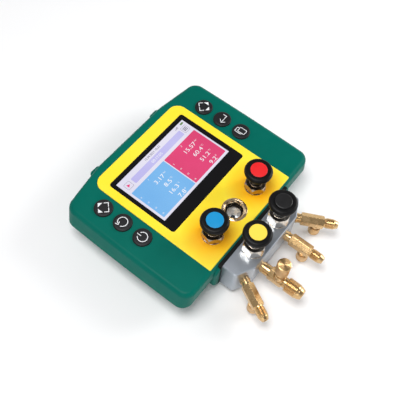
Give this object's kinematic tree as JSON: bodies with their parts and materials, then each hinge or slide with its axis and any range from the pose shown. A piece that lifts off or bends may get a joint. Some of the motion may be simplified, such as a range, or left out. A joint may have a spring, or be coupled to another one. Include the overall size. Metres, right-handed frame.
{
  "type": "refrigerant manifold gauge",
  "caption": "Digital refrigerant manifold gauge: flat housing with colour display and side keys, knob valves on an aluminium block, and brass flare hose ports.",
  "frame": {"origin": "on the flat back of the gauge, under the middle of the housing's outline", "axes": "+Z out of the face, +Y towards the top edge away from the hose ports, +X to the right of someone reading the display"},
  "size_m": [0.2206, 0.2525, 0.0851],
  "materials": {
    "green_shell": "satin, fine moulded texture",
    "yellow_plate": "satin lacquered",
    "black_plastic": "satin",
    "black_rubber": "matte",
    "button_rubber": "matte, white printed symbols",
    "clear_glass": "polished",
    "display": "lit colour screen",
    "circuit_board": "solder mask",
    "battery_wrap": "plastic sleeve",
    "aluminium": "satin anodised",
    "nickel": "nickel plated",
    "steel": "zinc plated",
    "brass": "turned",
    "disc_blue": "satin",
    "disc_red": "satin",
    "disc_yellow": "satin",
    "disc_black": "satin"
  },
  "bodies": {
    "housing": {"batteries": "battery_wrap", "battery_cover": "green_shell", "battery_cover_screws": "steel", "battery_holder": "black_plastic", "block_gasket": "black_rubber", "block_screws": "steel", "bonnet_black": "nickel", "bonnet_blue": "nickel", "bonnet_red": "nickel", "bonnet_yellow": "nickel", "cover_glass": "clear_glass", "face_plate": "yellow_plate", "front_shell": "green_shell", "housing_screws": "steel", "lcd_frame": "black_plastic", "lcd_panel": "display", "main_board": "circuit_board", "manifold_block": "aluminium", "port_centre": "brass", "port_left": "brass", "port_right": "brass", "port_tee": "brass", "rear_shell": "green_shell", "shell_seal": "black_rubber", "sight_bezel": "nickel", "sight_lens": "clear_glass", "sight_oring": "black_rubber", "sight_reflector": "nickel"},
    "piston_blue": {"piston_blue": "brass"},
    "valve_blue": {"spindle_blue": "steel", "knob_blue": "black_plastic", "knob_disc_blue": "disc_blue"},
    "piston_red": {"piston_red": "brass"},
    "valve_red": {"spindle_red": "steel", "knob_red": "black_plastic", "knob_disc_red": "disc_red"},
    "piston_yellow": {"piston_yellow": "brass"},
    "valve_yellow": {"spindle_yellow": "steel", "knob_yellow": "black_plastic", "knob_disc_yellow": "disc_yellow"},
    "piston_black": {"piston_black": "brass"},
    "valve_black": {"spindle_black": "steel", "knob_black": "black_plastic", "knob_disc_black": "disc_black"},
    "cap_seal_left": {"cap_seal_left": "black_rubber"},
    "port_cap_left": {"port_cap_left": "brass"},
    "cap_seal_centre": {"cap_seal_centre": "black_rubber"},
    "port_cap_centre": {"port_cap_centre": "brass"},
    "cap_seal_right": {"cap_seal_right": "black_rubber"},
    "port_cap_right": {"port_cap_right": "brass"},
    "cap_seal_tee": {"cap_seal_tee": "black_rubber"},
    "port_cap_tee": {"port_cap_tee": "brass"},
    "button_left_frame": {"button_left_frame": "button_rubber"},
    "button_back": {"button_back": "button_rubber"},
    "button_power": {"button_power": "button_rubber"},
    "button_right_frame": {"button_right_frame": "button_rubber"},
    "button_enter": {"button_enter": "button_rubber"},
    "button_pages": {"button_pages": "button_rubber"},
    "hook": {"hanging_hook": "steel"}
  },
  "joints": [
    {"name": "valve_blue_lift", "type": "slide", "parent": "housing", "child": "piston_blue", "axis": [0, 0, 1], "range_m": [0, 0.003]},
    {"name": "valve_blue_turn", "type": "hinge", "parent": "piston_blue", "child": "valve_blue", "pos_m": [-0.03595, -0.0595, 0.05], "axis": [0, 0, 1], "range_deg": [0, 721]},
    {"name": "valve_red_lift", "type": "slide", "parent": "housing", "child": "piston_red", "axis": [0, 0, 1], "range_m": [0, 0.003]},
    {"name": "valve_red_turn", "type": "hinge", "parent": "piston_red", "child": "valve_red", "pos_m": [0.03595, -0.0595, 0.05], "axis": [0, 0, 1], "range_deg": [0, 721]},
    {"name": "valve_yellow_lift", "type": "slide", "parent": "housing", "child": "piston_yellow", "axis": [0, 0, 1], "range_m": [0, 0.003]},
    {"name": "valve_yellow_turn", "type": "hinge", "parent": "piston_yellow", "child": "valve_yellow", "pos_m": [-0.0213, -0.0989, 0.05], "axis": [0, 0, 1], "range_deg": [0, 721]},
    {"name": "valve_black_lift", "type": "slide", "parent": "housing", "child": "piston_black", "axis": [0, 0, 1], "range_m": [0, 0.003]},
    {"name": "valve_black_turn", "type": "hinge", "parent": "piston_black", "child": "valve_black", "pos_m": [0.0213, -0.0989, 0.05], "axis": [0, 0, 1], "range_deg": [0, 721]},
    {"name": "cap_left_lift", "type": "slide", "parent": "housing", "child": "cap_seal_left", "axis": [0, 0, -1], "range_m": [0, 0.01016]},
    {"name": "cap_left_turn", "type": "hinge", "parent": "cap_seal_left", "child": "port_cap_left", "pos_m": [-0.05622, -0.12955, 0.026], "axis": [0, 0, -1], "range_deg": [0, 2884]},
    {"name": "cap_centre_lift", "type": "slide", "parent": "housing", "child": "cap_seal_centre", "axis": [0, 0, -1], "range_m": [0, 0.01016]},
    {"name": "cap_centre_turn", "type": "hinge", "parent": "cap_seal_centre", "child": "port_cap_centre", "pos_m": [0.022, -0.1369, 0.026], "axis": [0, 0, -1], "range_deg": [0, 2884]},
    {"name": "cap_right_lift", "type": "slide", "parent": "housing", "child": "cap_seal_right", "axis": [0, 0, -1], "range_m": [0, 0.01016]},
    {"name": "cap_right_turn", "type": "hinge", "parent": "cap_seal_right", "child": "port_cap_right", "pos_m": [0.05622, -0.12955, 0.026], "axis": [0, 0, -1], "range_deg": [0, 2884]},
    {"name": "cap_tee_lift", "type": "slide", "parent": "housing", "child": "cap_seal_tee", "axis": [0, 0, 1], "range_m": [0, 0.01524]},
    {"name": "cap_tee_turn", "type": "hinge", "parent": "cap_seal_tee", "child": "port_cap_tee", "pos_m": [-0.022, -0.1341, 0.026], "axis": [0, 0, 1], "range_deg": [0, 4324]},
    {"name": "button_left_frame_press", "type": "slide", "parent": "housing", "child": "button_left_frame", "axis": [0, 0, -1], "range_m": [0, 0.001], "stiffness_N_per_m": 900, "springref_m": -0.0008},
    {"name": "button_back_press", "type": "slide", "parent": "housing", "child": "button_back", "axis": [0, 0, -1], "range_m": [0, 0.001], "stiffness_N_per_m": 900, "springref_m": -0.0008},
    {"name": "button_power_press", "type": "slide", "parent": "housing", "child": "button_power", "axis": [0, 0, -1], "range_m": [0, 0.001], "stiffness_N_per_m": 900, "springref_m": -0.0008},
    {"name": "button_right_frame_press", "type": "slide", "parent": "housing", "child": "button_right_frame", "axis": [0, 0, -1], "range_m": [0, 0.001], "stiffness_N_per_m": 900, "springref_m": -0.0008},
    {"name": "button_enter_press", "type": "slide", "parent": "housing", "child": "button_enter", "axis": [0, 0, -1], "range_m": [0, 0.001], "stiffness_N_per_m": 900, "springref_m": -0.0008},
    {"name": "button_pages_press", "type": "slide", "parent": "housing", "child": "button_pages", "axis": [0, 0, -1], "range_m": [0, 0.001], "stiffness_N_per_m": 900, "springref_m": -0.0008},
    {"name": "hook_fold", "type": "hinge", "parent": "housing", "child": "hook", "pos_m": [0, 0.0796, 0.0125], "axis": [1, 0, 0], "range_deg": [0, 180]}
  ],
  "couplings": [
    {"joint": "valve_blue_turn", "follows": "valve_blue_lift", "rad_per_m": 4188.8},
    {"joint": "valve_red_turn", "follows": "valve_red_lift", "rad_per_m": 4188.8},
    {"joint": "valve_yellow_turn", "follows": "valve_yellow_lift", "rad_per_m": 4188.8},
    {"joint": "valve_black_turn", "follows": "valve_black_lift", "rad_per_m": 4188.8},
    {"joint": "cap_left_turn", "follows": "cap_left_lift", "rad_per_m": 4947.4},
    {"joint": "cap_centre_turn", "follows": "cap_centre_lift", "rad_per_m": 4947.4},
    {"joint": "cap_right_turn", "follows": "cap_right_lift", "rad_per_m": 4947.4},
    {"joint": "cap_tee_turn", "follows": "cap_tee_lift", "rad_per_m": 4947.4}
  ]
}
